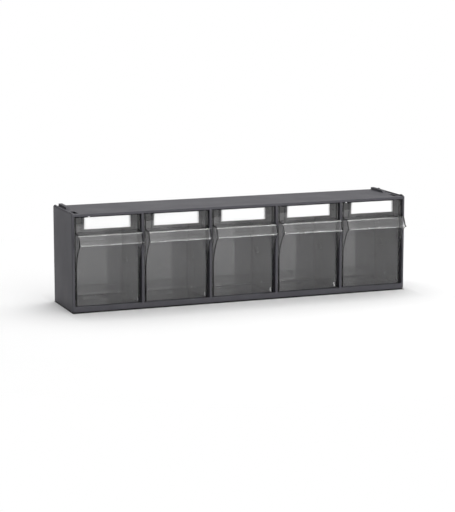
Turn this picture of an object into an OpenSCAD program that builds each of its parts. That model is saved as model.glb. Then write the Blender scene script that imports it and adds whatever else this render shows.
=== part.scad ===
// Tilt-out parts bin unit: a moulded case with five clear bins in a row.
// Each bin swings forward about two trunnions near its lower front edge.
// Millimetres, +Z up, +Y to the back. The origin is under the middle of the whole unit.

/* [Case] */
// Width of the case
case_w = 600; // [580:1:640]
// Depth of the case, without the handles
case_d = 110; // [108:1:119]
// Height of the case, without the stacking ridges and blocks
case_h = 163; // [159:1:169]
// Thickness of the top and bottom panels
panel_t = 4; // [3.6:0.1:4.6]
// Thickness of the two end panels
end_t = 4; // [3.8:0.1:4.6]
// Radius of the outer front edges of the end panels
end_r = 2.5; // [1:0.1:3]
// Thickness of the dividers between the bays
divider_t = 4; // [3.8:0.1:4.6]
// Thickness of the back panel
back_t = 3; // [2.5:0.1:4]
// Height of the front rail at its front face
rail_h = 9.5; // [8.5:0.1:9.8]
// Rise of the sloped top of the front rail
rail_rise = 1; // [0.5:0.1:1.2]
// Depth of the front rail
rail_t = 3.8; // [3.4:0.1:4]
// Height of the shadow gap under the end panels and the front rail
foot_h = 1.6; // [1:0.1:1.8]
// Depth of the shadow gap under the front rail
foot_d = 9; // [5:0.5:10]

/* [Stacking] */
// Height of the low ridge along each end of the top
ridge_h = 1.5; // [1:0.1:1.8]
// Height of the rounded humps at both ends of a ridge
hump_h = 3; // [2.4:0.1:3.2]
// Length of a hump
hump_l = 16; // [12:1:18]
// Width of a ridge
ridge_w = 1.6; // [1.3:0.1:1.7]
// Height of the stacking blocks above the top panel
block_h = 4; // [3:0.1:4.4]
// Width of a stacking block
block_w = 6; // [5:0.1:7]
// Length of a stacking block
block_l = 50; // [44:1:52]
// Distance of a stacking block from the end of the case
block_in = 8.4; // [8:0.1:9]

/* [Bins] */
// Distance of the bin fronts behind the front of the case
bin_set = 4.2; // [4.1:0.1:5]
// Height of the underside of a bin
bin_lift = 8.5; // [8.2:0.1:9.5]
// Depth of a bin from its front wall to its back wall
bin_d = 91.5; // [88:0.5:93]
// Wall thickness of a bin
bin_wall = 2; // [1.6:0.1:2.3]
// Free space between a bin and the bay walls on each side
side_gap = 3.2; // [2.8:0.1:3.6]
// How much narrower each side of a bin is at its back
bin_taper = 2.8; // [2:0.1:4]
// Radius of the upright front corners
corner_r = 1.2; // [0.8:0.1:2]
// Radius of the lower front edge
front_r = 2.5; // [2.4:0.1:4]
// Radius of the lower back edge
rear_r = 6; // [4:0.1:8]

/* [Handle] */
// Reach of the handle lip in front of the case
reach = 21.5; // [20:0.5:23]
// Drop of the lip from the label card to its tip
lip_drop = 24.5; // [23:0.5:26]
// Height of the sill under a label card
sill_h = 5; // [4:0.1:6]
// Reach of the shoulder of the handle in front of the case
shoulder_reach = 12.5; // [11.5:0.5:13.5]
// Drop of the shoulder below the root of the handle
shoulder_drop = 2.5; // [2:0.1:3.5]
// Height of the foot of the cheeks at both ends of the handle
cheek_z = 72; // [69:1:75]
// Thickness of the cheeks
cheek_t = 1.8; // [1.4:0.1:2.2]

/* [Labels] */
// Width of a label card
card_w = 79; // [74:1:82]
// Height of a label card
card_h = 19.5; // [18:0.5:21]
// Thickness of a label card
card_t = 0.4; // [0.3:0.1:0.5]

/* [Pivots] */
// Radius of the bin trunnions
trunnion_r = 3; // [2.5:0.1:3.4]
// Height of the trunnions above the underside of a bin
trunnion_z = 6.5; // [6:0.1:7.5]
// Distance of the trunnions behind the front of a bin
trunnion_y = 9; // [8.6:0.1:9.6]
// Opening angle of a bin
tilt = 45; // [43:0.5:47]
// Height of the tilt stop above the pivot
stop_arm = 86; // [82:1:88]
// Radius of the tilt stop
stop_r = 3; // [2.5:0.1:3.5]

/* [Wall screws] */
// Radius of a wall screw hole
screw_r = 2.5; // [2:0.1:3.5]
// Distance of the screw holes below the top of the case
screw_drop = 20; // [17:1:30]

/* [Hidden] */
// Counts and node names
bin_count = 5;
divider_count = bin_count - 1;

// Colours
case_grey = [0.3, 0.3, 0.32];
clear_grey = [0.75, 0.78, 0.8, 0.45];
card_white = [0.97, 0.97, 0.97];

// Clearances
groove_gap = 0.1;
pivot_gap = 0.08;
card_gap = 0.2;
rest_gap = 0.15;
bore_gap = 0.2;
stop_gap = 0.3;
stack_gap = 0.5;
boss_gap = 0.6;
fin_gap = 0.8;
top_gap = 2;
swing_gap = 1.6;
cut = 1;
skin = 0.01;

// Steps of round shapes and curves
round_steps = 48;
corner_steps = 6;
hump_steps = 10;
swing_steps = 14;

// Bays and bins across the case
inner_w = case_w - 2 * end_t;
bay_w = (inner_w - divider_count * divider_t) / bin_count;
pitch = bay_w + divider_t;
bin_half = bay_w / 2 - side_gap;
inner_r = 0.6;
function bin_x(i) = (i - (bin_count + 1) / 2) * pitch;
function divider_x(i) = (i - bin_count / 2) * pitch;

// Half width of a bin at a depth behind the front of the case
function side_at(y) = bin_half - bin_taper * (y - bin_set - corner_r) / (bin_d - corner_r);

// Levels and depths, measured from the floor and from the front of the case
inner_top = case_h - panel_t;
inner_back = case_d - back_t;
rail_top = rail_h + rail_rise;
bin_back = bin_set + bin_d;
plate_top = inner_top - top_gap;
ledge_z = plate_top - card_h;
pivot_y = bin_set + trunnion_y;
pivot_z = bin_lift + trunnion_z;
swing_r = inner_top - pivot_z - swing_gap;

// Tongues that seat the panels in each other
seat = 1.5;
end_seat = 0.8;
tongue_skin = 1.2;
tongue_low = foot_h + tongue_skin;
seat_front = 12;
seat_end = 10;
seat_back = inner_back - seat_end;

// Stacking ridges, blocks and the slots that take them
ridge_out = 0.9;
ridge_front = 3;
ridge_end = 1;
ridge_back = case_d - ridge_end;
ridge_gap = 0.2;
block_end = 3;
block_back = case_d - block_end;
block_front = block_back - block_l;
block_slope = 6;
slot_front = 10;
slot_l = 26;

// Rest pads under the bins
rest_half = 20;
rest_l = 6;
rest_in = 16;

// Trunnions and tilt stops
trunnion_play = 0.2;
trunnion_in = divider_t / 2 - trunnion_play;
trunnion_end = bay_w / 2 + trunnion_in;
bore_r = trunnion_r + pivot_gap;
stop_h = bay_w / 2 - bin_half - boss_gap;
fin_t = 2.5;
fin_half = 6;
fin_end = bay_w / 2 - fin_gap;
fin_lead = asin((stop_r + stop_gap) / stop_arm);
fin_angle = 90 - tilt - fin_lead;
fin_y = pivot_y + stop_arm * cos(fin_angle);

// Label plate and guides
plate_out = 1;
plate_half = bin_half + plate_out;
guide_t = 1.4;
guide_lip = 1.5;
guide_base = 4;
card_half = card_w / 2;

// Handle: root on the front wall, shoulder, lip and cheeks
hood_z = ledge_z - sill_h;
hood_back = bin_set + bin_wall;
shoulder = [-shoulder_reach, hood_z - shoulder_drop];
shoulder_round = 3;
lip_bead = 1.3;
lip_z = ledge_z - lip_drop;
lip_end = [-reach + lip_bead, lip_z];
lip_depth = 4;
lip_low = 0.2;
lip_under = [-reach + lip_depth, lip_z - lip_low];
cheek_half = bin_half - cheek_t;
cheek_bow = 35;
cheek_in = 6.4;
cheek_root = [bin_set, cheek_z];
cheek_pull = [-cheek_in, cheek_z + cheek_bow];

// Directions of the roof and the lip of the handle, and their inward normals
function unit(v) = v / norm(v);
roof_run = unit([bin_set, hood_z] - shoulder);
lip_run = unit(lip_end - shoulder);
roof_in = [roof_run.y, -roof_run.x];
lip_in = [-lip_run.y, lip_run.x];

// Shoulder of the handle drawn in by t
function shoulder_at(t) = shoulder + t * (roof_in + lip_in) / (1 + roof_in * lip_in);

// Moves a shape from the front of the case to the middle of the unit
module place() translate([0, -(case_d - reach) / 2, 0]) children();

// Extrudes a side outline (depth, height) across the unit between two positions
module across(x0, x1) translate([x0, 0, 0]) rotate([90, 0, 90]) linear_extrude(x1 - x0) children();

// A box given by two corners
module box(a, b) translate(a) cube(b - a);

// A round bar along X between two positions
module bar(x0, x1, y, z, r)
    translate([x0, y, z]) rotate([0, 90, 0]) cylinder(h = x1 - x0, r = r, $fn = round_steps);

// Points of an arc
function arc(c, r, a0, a1, n) = [for (k = [0 : n]) let (a = a0 + (a1 - a0) * k / n) c + r * [cos(a), sin(a)]];

// Points of a curve from p0 to p2 that is pulled towards p1
function bend(p0, p1, p2, n) = [for (k = [0 : n]) let (s = k / n)
    (1 - s) * (1 - s) * p0 + 2 * s * (1 - s) * p1 + s * s * p2];

// Case

// Slot in an end panel for the tongue of the top or bottom panel
module end_tongue_slot(z0, z1) box(
    [case_w / 2 - end_t - cut, seat_front - groove_gap, z0 - groove_gap],
    [case_w / 2 - end_t + end_seat + groove_gap, seat_back + groove_gap, z1 + groove_gap]
);

// Upright prism over the place of a stacking block, widened by grow
module block_place(s, grow, y0, y1, z0, z1) {
    middle = s * (case_w / 2 - block_in - block_w / 2);
    box([middle - block_w / 2 - grow, y0, z0], [middle + block_w / 2 + grow, y1, z1]);
}

// Stacking block with a sloped front end
module stacking_block(s) translate([s * (case_w / 2 - block_in - block_w / 2), 0, 0])
    across(-block_w / 2, block_w / 2)
        polygon([[block_front, case_h - skin], [block_back, case_h - skin],
                 [block_back, case_h + block_h], [block_front + block_slope, case_h + block_h]]);

module divider_groove(i, z0, z1) box(
    [divider_x(i) - divider_t / 2 - groove_gap, seat_front - groove_gap, z0],
    [divider_x(i) + divider_t / 2 + groove_gap, seat_back + groove_gap, z1]
);

module top_panel() color(case_grey) place() difference() {
    union() {
        box([-inner_w / 2, 0, inner_top], [inner_w / 2, case_d, case_h]);
        box([-inner_w / 2 - end_seat, seat_front, inner_top],
            [inner_w / 2 + end_seat, seat_back, case_h - tongue_skin]);
        for (s = [-1, 1]) stacking_block(s);
    }
    for (s = [-1, 1])
        block_place(s, stack_gap, slot_front, slot_front + slot_l, inner_top - cut, case_h + cut);
    for (i = [1 : divider_count]) divider_groove(i, inner_top - cut, inner_top + seat + groove_gap);
}

// Pad that a closed bin rests on
module rest_pad(i) box([bin_x(i) - rest_half, bin_back - rest_in, panel_t - skin],
                       [bin_x(i) + rest_half, bin_back - rest_in + rest_l, bin_lift - rest_gap]);

module bottom_panel() color(case_grey) place() difference() {
    union() {
        box([-inner_w / 2, 0, 0], [inner_w / 2, case_d, panel_t]);
        box([-inner_w / 2 - end_seat, seat_front, tongue_low], [inner_w / 2 + end_seat, seat_back, panel_t]);
        across(-inner_w / 2, inner_w / 2)
            polygon([[0, panel_t - skin], [rail_t, panel_t - skin], [rail_t, rail_top], [0, rail_h]]);
        for (i = [1 : bin_count]) rest_pad(i);
    }
    for (s = [-1, 1])
        block_place(s, stack_gap, block_front - stack_gap, block_back + stack_gap, -cut, panel_t + cut);
    for (i = [1 : divider_count]) divider_groove(i, panel_t - seat - groove_gap, panel_t + cut);
    box([-case_w / 2, -cut, -cut], [case_w / 2, foot_d, foot_h]);
}

module screw_hole(s) translate([s * bin_x(bin_count), inner_back - cut, case_h - screw_drop])
    rotate([-90, 0, 0]) cylinder(h = back_t + 2 * cut, r = screw_r, $fn = round_steps);

module back_panel() color(case_grey) place() difference() {
    box([-inner_w / 2, inner_back, panel_t], [inner_w / 2, case_d, inner_top]);
    for (s = [-1, 1]) screw_hole(s);
}

// Rounded hump of a stacking ridge
module hump(y0) polygon(bend(
    [y0, case_h - skin], [y0 + hump_l / 2, case_h + 2 * hump_h], [y0 + hump_l, case_h - skin], hump_steps
));

module stacking_ridge() across(case_w / 2 - ridge_out - ridge_w, case_w / 2 - ridge_out) {
    polygon([[ridge_front, case_h - skin], [ridge_back, case_h - skin],
             [ridge_back, case_h + ridge_h], [ridge_front, case_h + ridge_h]]);
    hump(ridge_front);
    hump(ridge_back - hump_l);
}

// Groove under an end panel that takes the ridge of the unit below
module ridge_groove() box(
    [case_w / 2 - ridge_out - ridge_w - ridge_gap, -cut, -cut],
    [case_w / 2 - ridge_out + ridge_gap, case_d + cut, hump_h + ridge_gap]
);

// Plan of an end panel with a rounded outer front edge
module end_plan() polygon(concat(
    [[case_w / 2 - end_t, 0]],
    arc([case_w / 2 - end_r, end_r], end_r, -90, 0, corner_steps),
    [[case_w / 2, case_d], [case_w / 2 - end_t, case_d]]
));

module end_panel() {
    inner_face = case_w / 2 - end_t;
    difference() {
        union() {
            translate([0, 0, foot_h]) linear_extrude(case_h - foot_h) end_plan();
            stacking_ridge();
            bar(inner_face - stop_h, inner_face + skin, pivot_y, pivot_z + stop_arm, stop_r);
        }
        end_tongue_slot(inner_top, case_h - tongue_skin);
        end_tongue_slot(tongue_low, panel_t);
        ridge_groove();
        bar(inner_face - cut, inner_face + trunnion_in + bore_gap, pivot_y, pivot_z, bore_r);
    }
}

module right_end_panel() color(case_grey) place() end_panel();

module left_end_panel() color(case_grey) place() mirror([1, 0, 0]) end_panel();

module divider(i) color(case_grey) place() translate([divider_x(i), 0, 0]) difference() {
    union() {
        across(-divider_t / 2, divider_t / 2)
            polygon([[0, rail_h], [rail_t, rail_top], [rail_t, panel_t], [inner_back, panel_t],
                     [inner_back, inner_top], [0, inner_top]]);
        box([-divider_t / 2, seat_front, panel_t - seat], [divider_t / 2, seat_back, inner_top + seat]);
        bar(-divider_t / 2 - stop_h, divider_t / 2 + stop_h, pivot_y, pivot_z + stop_arm, stop_r);
    }
    bar(-divider_t / 2 - cut, divider_t / 2 + cut, pivot_y, pivot_z, bore_r);
}

// Bins

// Plan of the bin body, drawn in by t on every side, with front corners of radius r
module body_plan(t, r) {
    front = bin_set + t + r;
    middle = bin_half - t - r;
    back_half = side_at(bin_back) - t;
    polygon(concat(
        arc([middle, front], r, -90, 0, corner_steps),
        [[back_half, bin_back - t], [-back_half, bin_back - t]],
        arc([-middle, front], r, 180, 270, corner_steps)
    ));
}

// Rounded lower front edge of a bin, drawn in by t
function front_edge(t) = arc([bin_set + front_r, bin_lift + front_r], front_r - t, 180, 270, corner_steps);

// Rounded lower back edge of a bin, drawn in by t
function rear_edge(t) = arc([bin_back - rear_r, bin_lift + rear_r], rear_r - t, -90, 0, corner_steps);

// Side outline of the bin body: floor, back wall, and an upper edge that swings clear of the top panel
module body_side() {
    arc_back = acos((bin_back - pivot_y) / swing_r);
    arc_front = acos((bin_set + bin_wall - pivot_y) / swing_r);
    polygon(concat(
        front_edge(0), rear_edge(0),
        arc([pivot_y, pivot_z], swing_r, arc_back, arc_front, swing_steps),
        [[bin_set + bin_wall, plate_top], [bin_set, plate_top]]
    ));
}

// Side outline of the hollow in the bin body
module hollow_side() polygon(concat(
    front_edge(bin_wall), rear_edge(bin_wall), [[bin_back - bin_wall, case_h], [bin_set + bin_wall, case_h]]
));

// Front edge of a cheek, from its root on the front wall to the lip
cheek_edge = bend(cheek_root, cheek_pull, lip_under, corner_steps);

// Side outline of the handle: roof, rounded shoulder, lip and cheek
module hood_side() polygon(concat(
    [[hood_back, cheek_z], [hood_back, hood_z], [bin_set, hood_z]],
    bend(shoulder + shoulder_round * roof_run, shoulder, shoulder + shoulder_round * lip_run, corner_steps),
    [lip_end],
    [for (k = [len(cheek_edge) - 1 : -1 : 0]) cheek_edge[k]]
));

// Side outline of the finger space under the roof and behind the lip
module finger_side() {
    lip_back = lip_end + bin_wall * lip_in;
    polygon([[bin_set, cheek_z - cut], [bin_set, hood_z - bin_wall], shoulder_at(bin_wall), lip_back,
             [lip_back.x, cheek_z - cut]]);
}

// Handle: a roof and a lip between two cheeks, open at the bottom
module handle() {
    difference() {
        across(-bin_half, bin_half) hood_side();
        across(-cheek_half, cheek_half) finger_side();
    }
    bar(-bin_half, bin_half, lip_end.x, lip_z + lip_bead, lip_bead);
}

module bin_shell() {
    intersection() {
        linear_extrude(case_h) body_plan(0, corner_r);
        across(-bin_half, bin_half) body_side();
    }
    box([-plate_half, bin_set, hood_z - bin_wall], [plate_half, bin_set + bin_wall, plate_top]);
    handle();
}

module bin_hollow() intersection() {
    linear_extrude(case_h) body_plan(bin_wall, inner_r);
    across(-bin_half, bin_half) hollow_side();
}

module label_guides() {
    inner_edge = card_half - guide_lip;
    base_in = card_half + card_gap;
    base_out = card_half + guide_base;
    face = bin_set - guide_t;
    lip_back = bin_set - card_t - card_gap;
    for (s = [0, 1]) mirror([s, 0, 0]) translate([0, 0, ledge_z]) linear_extrude(card_h)
        polygon([[base_out, bin_set + skin], [base_out, face], [inner_edge, face],
                 [inner_edge, lip_back], [base_in, lip_back], [base_in, bin_set + skin]]);
    box([-base_out, face, hood_z - bin_wall / 2], [base_out, bin_set + bin_wall / 2, ledge_z]);
}

module stop_fins() for (s = [0, 1]) mirror([s, 0, 0])
    translate([side_at(fin_y) - bin_wall / 2, pivot_y, pivot_z]) rotate([fin_angle, 0, 0])
        translate([0, stop_arm - fin_half, -fin_t])
            cube([fin_end - side_at(fin_y) + bin_wall / 2, 2 * fin_half, fin_t]);

module trunnions() for (s = [0, 1]) mirror([s, 0, 0])
    bar(side_at(pivot_y) - bin_wall / 2, trunnion_end, pivot_y, pivot_z, trunnion_r);

module bin(i) color(clear_grey) place() translate([bin_x(i), 0, 0]) {
    difference() {
        bin_shell();
        bin_hollow();
    }
    label_guides();
    stop_fins();
    trunnions();
}

module label_card(i) color(card_white) place()
    box([bin_x(i) - card_half, bin_set - card_t, ledge_z], [bin_x(i) + card_half, bin_set, plate_top]);

// One node, or the whole unit
top_panel();
bottom_panel();
back_panel();
left_end_panel();
right_end_panel();
for (i = [1 : divider_count]) divider(i);
for (i = [1 : bin_count]) bin(i);
for (i = [1 : bin_count]) label_card(i);
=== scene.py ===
"""Looks of the tilt-out parts bin unit: camera, studio light, and the finish of every moulding and card."""

import math

import bpy
from mathutils import Matrix, Vector

# Height of the photo in pixels and the camera that sees the case as the photo does
FRAME_H = 512
SENSOR_MM = 36.0
CAMERA_AZIMUTH = math.radians(-21.05)
CAMERA_ELEVATION = math.radians(9.52)
CAMERA_DISTANCE = 3.0437
CAMERA_FOCAL_PX = 1771.6
CAMERA_OFFSET_PX = (2.41, -9.03)
CAMERA_TARGET = Vector((0.0, 0.02225, 0.082))
CAMERA_REACH = 50

# Middle part of a noise that is spread over a range
NOISE_RANGE = (0.3, 0.7)

# Case plastic: colours in linear light, noises as features per metre and detail, bumps as strength and metres
CASE_NODES = ("top_panel", "bottom_panel", "back_panel", "left_end", "right_end", "divider")
CASE_GREY = (0.068, 0.0665, 0.0755)
CASE_GREY_PALE = (0.076, 0.0745, 0.084)
CASE_MOTTLE = (45, 4)
CASE_SHEEN = (18, 3)
CASE_ROUGHNESS = (0.48, 0.58)
CASE_SPECULAR = 0.12
CASE_GRAIN = (2600, 2)
CASE_GRAIN_BUMP = (0.25, 0.0002)

# Rounded edges of the case mouldings: width in metres, steps, and the sharpest edge that stays
EDGE_WIDTH = 0.0005
EDGE_STEPS = 2
EDGE_ANGLE = math.radians(50)

# Clear plastic of the bins
CLEAR_NODES = ("bin_",)
CLEAR_TINT = (0.996, 0.995, 0.998)
CLEAR_IOR = 1.53
CLEAR_HAZE = (30, 3)
CLEAR_ROUGHNESS = (0.0, 0.008)
CLEAR_FLOW = (22, 1)
CLEAR_FLOW_BUMP = (0.01, 0.001)

# Label cards; the fibre noise also has its roughness
CARD_NODES = ("label_card",)
CARD_WHITE = (0.88, 0.88, 0.88)
CARD_DARKER = 0.97
CARD_ROUGHNESS = 0.85
CARD_SPECULAR = 0.25
CARD_FIBRE = (900, 6, 0.7)
CARD_FIBRE_BUMP = (0.15, 0.0001)

# Floor: size, roughness, and the distances from the middle of the unit between which it turns plain white
FLOOR_SIZE = 12
FLOOR_ROUGHNESS = 0.9
FLOOR_NEAR, FLOOR_FAR = 0.34, 0.75

# Painted shadow in the floor's colour round the foot of the case: middle and half size of the case in metres,
# the reach of the painted shadow, how much narrower it is at the ends, and the floor's level by shares of the
# reach
CASE_MIDDLE = (0.0, 0.01075, 0.0)
CASE_HALF = (0.3, 0.055, 1.0)
PAINTED_SHADOW_REACH = 0.08
PAINTED_SHADOW_SPREAD = (6.0, 1.0, 1.0)
PAINTED_SHADOW_STEPS = ((0.0, 0.05), (0.03, 0.05), (0.06, 0.86), (1.0, 0.97))

# Studio: brightness overhead and at the horizon, height where the first starts, and the dimmer left front
STUDIO_TOP = 0.8
STUDIO_SIDE = 0.78
STUDIO_TOP_Z = 0.8
DIM_SIDE = (-0.80, -0.60, 0.0)
DIM_RANGE = (0.1, 0.9)
DIM_LEVEL = 0.2

# Lamps: place, width and height in metres, watts, whether matte faces are lit, whether polished faces show it
LAMP_AIM = Vector((0, 0, 0.08))
LAMPS = {
    "low_front_softbox": ((0.5, -2.6, 0.5), 1.6, 0.6, 38, True, False),
    "overhead_softbox": ((0.25, 0.5, 1.5), 1.8, 1.2, 13, True, True),
    "gloss_softbox": ((0, -0.5, 1.3), 1.8, 0.8, 30, False, True),
}

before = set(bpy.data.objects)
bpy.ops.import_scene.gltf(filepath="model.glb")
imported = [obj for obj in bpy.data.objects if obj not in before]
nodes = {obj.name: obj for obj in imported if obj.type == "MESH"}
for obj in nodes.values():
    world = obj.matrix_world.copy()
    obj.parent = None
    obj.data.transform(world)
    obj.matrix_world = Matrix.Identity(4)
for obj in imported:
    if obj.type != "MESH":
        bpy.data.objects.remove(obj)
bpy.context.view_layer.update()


def make_camera():
    """Camera at the photo's angle, with the small shift of the photo's framing."""
    back = Vector((
        math.sin(CAMERA_AZIMUTH) * math.cos(CAMERA_ELEVATION),
        -math.cos(CAMERA_AZIMUTH) * math.cos(CAMERA_ELEVATION),
        math.sin(CAMERA_ELEVATION),
    ))
    right = Vector((0, 0, 1)).cross(back).normalized()
    up = back.cross(right)
    data = bpy.data.cameras.new("photo_camera")
    data.sensor_width = SENSOR_MM
    data.lens = CAMERA_FOCAL_PX * SENSOR_MM / FRAME_H
    data.shift_x = -CAMERA_OFFSET_PX[0] / FRAME_H
    data.shift_y = CAMERA_OFFSET_PX[1] / FRAME_H
    data.clip_end = CAMERA_REACH
    camera = bpy.data.objects.new("photo_camera", data)
    turn = Matrix((right, up, back)).transposed().to_4x4()
    camera.matrix_world = Matrix.Translation(CAMERA_TARGET + back * CAMERA_DISTANCE) @ turn
    bpy.context.scene.collection.objects.link(camera)
    bpy.context.scene.camera = camera


def new_material(name):
    """A new node material, its tree and its Principled shader."""
    material = bpy.data.materials.new(name)
    material.use_nodes = True
    tree = material.node_tree
    return material, tree, tree.nodes["Principled BSDF"]


def noise(tree, scale, detail, roughness=0.5):
    """A noise texture on object coordinates; scale is in features per metre."""
    place = tree.nodes.new("ShaderNodeTexCoord")
    texture = tree.nodes.new("ShaderNodeTexNoise")
    texture.inputs["Scale"].default_value = scale
    texture.inputs["Detail"].default_value = detail
    texture.inputs["Roughness"].default_value = roughness
    tree.links.new(place.outputs["Object"], texture.inputs["Vector"])
    return texture.outputs["Fac"]


def map_range(tree, value, source, target):
    """Maps a value from one range to another."""
    node = tree.nodes.new("ShaderNodeMapRange")
    for socket, number in zip(("From Min", "From Max", "To Min", "To Max"), (*source, *target)):
        node.inputs[socket].default_value = number
    tree.links.new(value, node.inputs["Value"])
    return node.outputs["Result"]


def math_node(tree, operation, first, second):
    """Joins two values."""
    node = tree.nodes.new("ShaderNodeMath")
    node.operation = operation
    tree.links.new(first, node.inputs[0])
    tree.links.new(second, node.inputs[1])
    return node.outputs["Value"]


def vector_math(tree, operation, vector, constant=(0, 0, 0)):
    """The node that works on a vector with a constant one."""
    node = tree.nodes.new("ShaderNodeVectorMath")
    node.operation = operation
    tree.links.new(vector, node.inputs[0])
    node.inputs[1].default_value = constant
    return node


def mix_colours(tree, value, first, second):
    """A colour between two colours by a noise value."""
    ramp = tree.nodes.new("ShaderNodeValToRGB")
    for step, position, colour in zip(ramp.color_ramp.elements, NOISE_RANGE, (first, second)):
        step.position = position
        step.color = (*colour, 1)
    tree.links.new(value, ramp.inputs["Fac"])
    return ramp.outputs["Color"]


def add_bump(tree, shader, height, strength, distance):
    """Bump from a height value; distance is in metres."""
    bump = tree.nodes.new("ShaderNodeBump")
    bump.inputs["Strength"].default_value = strength
    bump.inputs["Distance"].default_value = distance
    tree.links.new(height, bump.inputs["Height"])
    tree.links.new(bump.outputs["Normal"], shader.inputs["Normal"])


def case_plastic():
    """Dark grey moulded plastic with a fine spark-eroded texture."""
    material, tree, shader = new_material("case_plastic")
    colour = mix_colours(tree, noise(tree, *CASE_MOTTLE), CASE_GREY, CASE_GREY_PALE)
    roughness = map_range(tree, noise(tree, *CASE_SHEEN), NOISE_RANGE, CASE_ROUGHNESS)
    tree.links.new(colour, shader.inputs["Base Color"])
    tree.links.new(roughness, shader.inputs["Roughness"])
    shader.inputs["Specular IOR Level"].default_value = CASE_SPECULAR
    add_bump(tree, shader, noise(tree, *CASE_GRAIN), *CASE_GRAIN_BUMP)
    return material


def clear_plastic():
    """Clear polystyrene, polished, with faint flow marks."""
    material, tree, shader = new_material("clear_plastic")
    shader.inputs["Base Color"].default_value = (*CLEAR_TINT, 1)
    shader.inputs["Transmission Weight"].default_value = 1.0
    shader.inputs["IOR"].default_value = CLEAR_IOR
    roughness = map_range(tree, noise(tree, *CLEAR_HAZE), NOISE_RANGE, CLEAR_ROUGHNESS)
    tree.links.new(roughness, shader.inputs["Roughness"])
    add_bump(tree, shader, noise(tree, *CLEAR_FLOW), *CLEAR_FLOW_BUMP)
    return material


def label_paper():
    """Plain white card with paper fibre."""
    material, tree, shader = new_material("label_paper")
    fibre = noise(tree, *CARD_FIBRE)
    darker = tuple(CARD_DARKER * value for value in CARD_WHITE)
    tree.links.new(mix_colours(tree, fibre, darker, CARD_WHITE), shader.inputs["Base Color"])
    shader.inputs["Roughness"].default_value = CARD_ROUGHNESS
    shader.inputs["Specular IOR Level"].default_value = CARD_SPECULAR
    add_bump(tree, shader, fibre, *CARD_FIBRE_BUMP)
    return material


def dress(prefixes, material):
    """Gives a finish to the nodes whose names start with one of the prefixes."""
    for name, obj in nodes.items():
        if name.startswith(prefixes):
            obj.data.materials.clear()
            obj.data.materials.append(material)


def soften_edges(prefixes):
    """Rounds the sharp edges of mouldings so that they catch the light."""
    for name, obj in nodes.items():
        if name.startswith(prefixes):
            bevel = obj.modifiers.new("soft_edges", "BEVEL")
            bevel.width = EDGE_WIDTH
            bevel.segments = EDGE_STEPS
            bevel.limit_method = "ANGLE"
            bevel.angle_limit = EDGE_ANGLE
            bevel.harden_normals = True


def seen_straight(tree, path):
    """1 for what the camera sees straight or through clear plastic, 0 for other light."""
    return math_node(tree, "MAXIMUM", path.outputs["Is Camera Ray"], path.outputs["Is Transmission Ray"])


def painted_foot_shadow(tree, place):
    """Colour of the floor with a painted shadow: dark under the case and in a thin line round its foot, then
    a lighter painted shade that fades to the plain pale floor.
    """
    offset = vector_math(tree, "SUBTRACT", place, CASE_MIDDLE).outputs["Vector"]
    mirrored = vector_math(tree, "ABSOLUTE", offset).outputs["Vector"]
    outside = vector_math(tree, "SUBTRACT", mirrored, CASE_HALF).outputs["Vector"]
    clear = vector_math(tree, "MAXIMUM", outside).outputs["Vector"]
    spread = vector_math(tree, "MULTIPLY", clear, PAINTED_SHADOW_SPREAD).outputs["Vector"]
    distance = vector_math(tree, "LENGTH", spread).outputs["Value"]
    share = map_range(tree, distance, (0.0, PAINTED_SHADOW_REACH), (0.0, 1.0))
    ramp = tree.nodes.new("ShaderNodeValToRGB")
    steps = ramp.color_ramp.elements
    while len(steps) < len(PAINTED_SHADOW_STEPS):
        steps.new(0.5)
    for step, (position, level) in zip(steps, PAINTED_SHADOW_STEPS):
        step.position = position
        step.color = (level, level, level, 1)
    tree.links.new(share, ramp.inputs["Fac"])
    return ramp.outputs["Color"]


def make_floor():
    """Pale floor that keeps the unit's shadow, carries a painted shadow round the case's foot, and turns to
    the plain white of the background further out.
    """
    bpy.ops.mesh.primitive_plane_add(size=FLOOR_SIZE, location=(0, 0, 0))
    floor = bpy.context.object
    floor.name = "studio_floor"
    material, tree, shader = new_material("studio_floor")
    place = tree.nodes.new("ShaderNodeTexCoord").outputs["Object"]
    # The base colour is a painted shadow round the foot of the case, fading to the plain floor colour.
    tree.links.new(painted_foot_shadow(tree, place), shader.inputs["Base Color"])
    shader.inputs["Roughness"].default_value = FLOOR_ROUGHNESS
    shader.inputs["Specular IOR Level"].default_value = 0.0
    distance = vector_math(tree, "LENGTH", place).outputs["Value"]
    far = map_range(tree, distance, (FLOOR_NEAR, FLOOR_FAR), (0.0, 1.0))
    path = tree.nodes.new("ShaderNodeLightPath")
    seen = math_node(tree, "MAXIMUM", seen_straight(tree, path), path.outputs["Is Glossy Ray"])
    white = tree.nodes.new("ShaderNodeEmission")
    mix = tree.nodes.new("ShaderNodeMixShader")
    tree.links.new(math_node(tree, "MULTIPLY", far, seen), mix.inputs["Fac"])
    tree.links.new(shader.outputs["BSDF"], mix.inputs[1])
    tree.links.new(white.outputs["Emission"], mix.inputs[2])
    tree.links.new(mix.outputs["Shader"], tree.nodes["Material Output"].inputs["Surface"])
    floor.data.materials.append(material)


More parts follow.
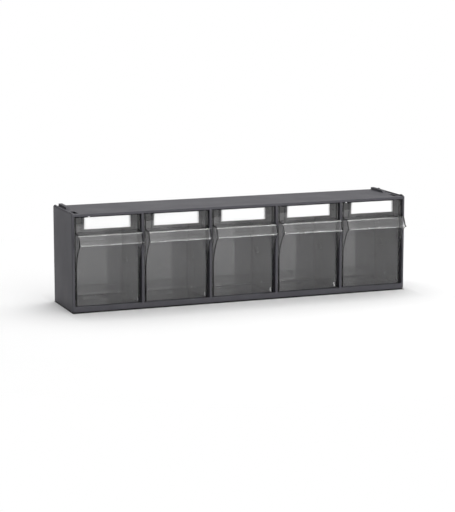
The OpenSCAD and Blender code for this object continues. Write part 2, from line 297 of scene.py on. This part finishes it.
def studio_level(tree):
    """Brightness of the studio by direction: brighter overhead, dimmer at the left front."""
    direction = tree.nodes.new("ShaderNodeTexCoord").outputs["Generated"]
    split = tree.nodes.new("ShaderNodeSeparateXYZ")
    tree.links.new(direction, split.inputs["Vector"])
    sky = map_range(tree, split.outputs["Z"], (0.0, STUDIO_TOP_Z), (STUDIO_SIDE, STUDIO_TOP))
    facing = vector_math(tree, "DOT_PRODUCT", direction, DIM_SIDE).outputs["Value"]
    dim = map_range(tree, facing, DIM_RANGE, (1.0, DIM_LEVEL))
    return math_node(tree, "MULTIPLY", sky, dim)


def make_world():
    """Studio that is plain white to the camera and through clear plastic, and has its own light elsewhere."""
    world = bpy.data.worlds.new("studio")
    bpy.context.scene.world = world
    world.use_nodes = True
    tree = world.node_tree
    tree.nodes.clear()
    light = tree.nodes.new("ShaderNodeBackground")
    tree.links.new(studio_level(tree), light.inputs["Strength"])
    white = tree.nodes.new("ShaderNodeBackground")
    white.inputs["Strength"].default_value = 1.0
    for background in (light, white):
        background.inputs["Color"].default_value = (1, 1, 1, 1)
    mix = tree.nodes.new("ShaderNodeMixShader")
    tree.links.new(seen_straight(tree, tree.nodes.new("ShaderNodeLightPath")), mix.inputs["Fac"])
    tree.links.new(light.outputs["Background"], mix.inputs[1])
    tree.links.new(white.outputs["Background"], mix.inputs[2])
    out = tree.nodes.new("ShaderNodeOutputWorld")
    tree.links.new(mix.outputs["Shader"], out.inputs["Surface"])


def make_lamp(name, place, width, height, power, lights, mirrored):
    """A large soft area light that lights matte faces, shows in polished ones, or both."""
    data = bpy.data.lights.new(name, "AREA")
    data.shape = "RECTANGLE"
    data.size = width
    data.size_y = height
    data.energy = power
    lamp = bpy.data.objects.new(name, data)
    lamp.location = place
    lamp.rotation_euler = (LAMP_AIM - Vector(place)).to_track_quat("-Z", "Y").to_euler()
    lamp.visible_diffuse = lights
    lamp.visible_glossy = mirrored
    lamp.visible_transmission = mirrored
    bpy.context.scene.collection.objects.link(lamp)


make_camera()
dress(CASE_NODES, case_plastic())
dress(CLEAR_NODES, clear_plastic())
dress(CARD_NODES, label_paper())
soften_edges(CASE_NODES)
make_floor()
make_world()
for lamp_name, settings in LAMPS.items():
    make_lamp(lamp_name, *settings)
bpy.context.scene.view_settings.view_transform = "Standard"
